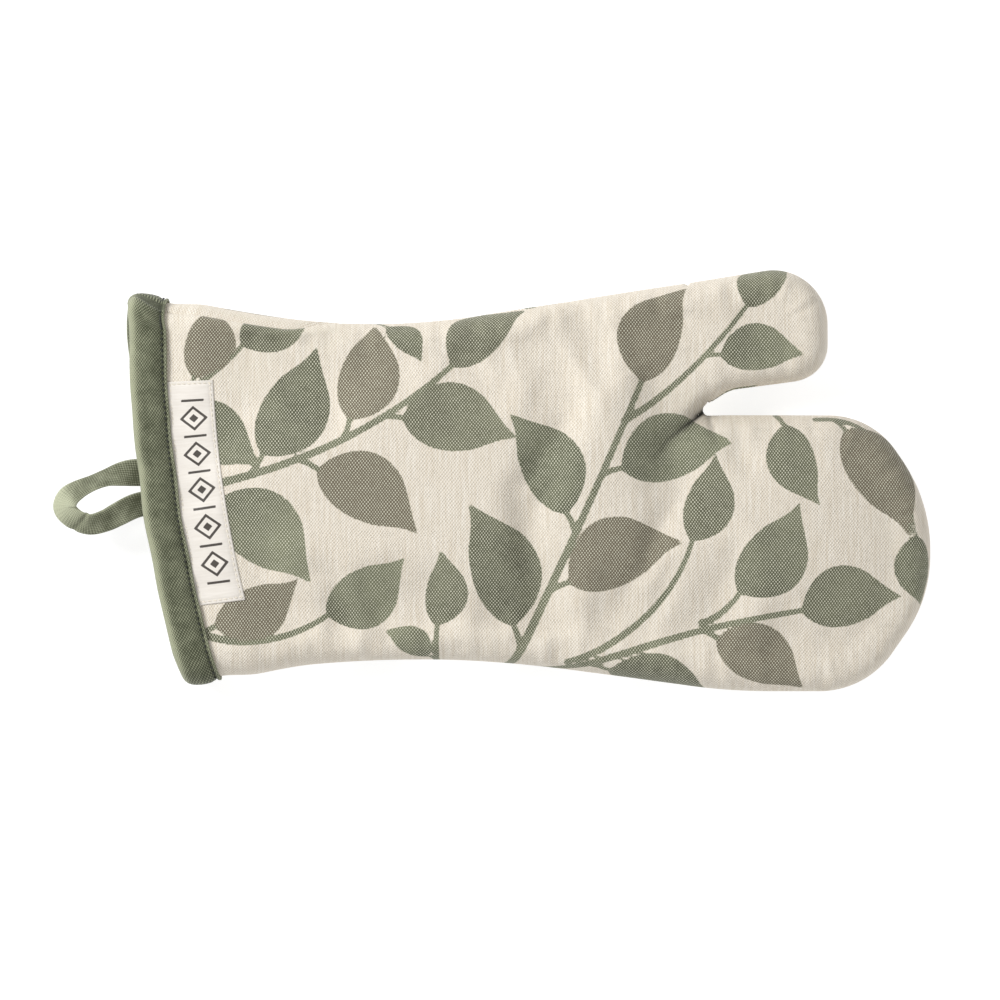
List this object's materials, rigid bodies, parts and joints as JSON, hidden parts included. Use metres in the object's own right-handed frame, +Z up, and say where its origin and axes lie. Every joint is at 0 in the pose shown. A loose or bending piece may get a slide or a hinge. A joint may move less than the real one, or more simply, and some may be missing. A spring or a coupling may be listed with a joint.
{
  "type": "oven mitt",
  "caption": "Quilted cotton oven mitt lying flat, with a bound cuff, a sewn label, a hanging loop and folding thumb and fingers.",
  "frame": {"origin": "on the surface the mitt lies on, under the middle of its box, loop included", "axes": "+X towards the fingertips, +Y towards the thumb side, +Z up out of the front panel"},
  "size_m": [0.3528, 0.1696, 0.0287],
  "materials": {
    "printed_duck": "cotton duck, printed with leaves, matte",
    "cotton_wadding": "needled cotton wadding",
    "lining_cloth": "plain cotton lining, matte",
    "sage_binding": "bias binding, plain weave, matte",
    "sage_tape": "twill tape, matte",
    "sage_thread": "spun polyester thread",
    "label_satin": "woven satin label",
    "cream_thread": "spun polyester thread"
  },
  "bodies": {
    "hand": {"hand_front_shell": "printed_duck", "hand_back_shell": "printed_duck", "hand_front_wadding": "cotton_wadding", "hand_back_wadding": "cotton_wadding", "hand_front_lining": "lining_cloth", "hand_back_lining": "lining_cloth", "hand_seam_thread": "cream_thread", "hand_lining_thread": "cream_thread", "cuff_binding": "sage_binding", "binding_topstitch": "sage_thread", "woven_label": "label_satin", "label_stitches": "cream_thread", "loop_ends": "sage_tape", "loop_bar_tacks": "sage_thread"},
    "thumb": {"thumb_front_shell": "printed_duck", "thumb_back_shell": "printed_duck", "thumb_front_wadding": "cotton_wadding", "thumb_back_wadding": "cotton_wadding", "thumb_front_lining": "lining_cloth", "thumb_back_lining": "lining_cloth", "thumb_seam_thread": "cream_thread", "thumb_lining_thread": "cream_thread"},
    "fingers": {"finger_front_shell": "printed_duck", "finger_back_shell": "printed_duck", "finger_front_wadding": "cotton_wadding", "finger_back_wadding": "cotton_wadding", "finger_front_lining": "lining_cloth", "finger_back_lining": "lining_cloth", "finger_seam_thread": "cream_thread", "finger_lining_thread": "cream_thread"},
    "loop": {"hanging_loop": "sage_tape"}
  },
  "joints": [
    {"name": "thumb_fold", "type": "hinge", "parent": "hand", "child": "thumb", "pos_m": [0.08718, 0.0284, 0.028], "axis": [0.1582, -0.9874, 0], "range_deg": [0, 60], "stiffness_Nm_per_rad": 0.01},
    {"name": "finger_fold", "type": "hinge", "parent": "hand", "child": "fingers", "pos_m": [0.098, -0.03, 0.028], "axis": [0, -1, 0], "range_deg": [0, 70], "stiffness_Nm_per_rad": 0.03},
    {"name": "loop_swing", "type": "hinge", "parent": "hand", "child": "loop", "pos_m": [-0.14228, -0.00235, 0.0192], "axis": [-0.1339, 0.991, 0], "range_deg": [-85, 85], "stiffness_Nm_per_rad": 0.002}
  ]
}
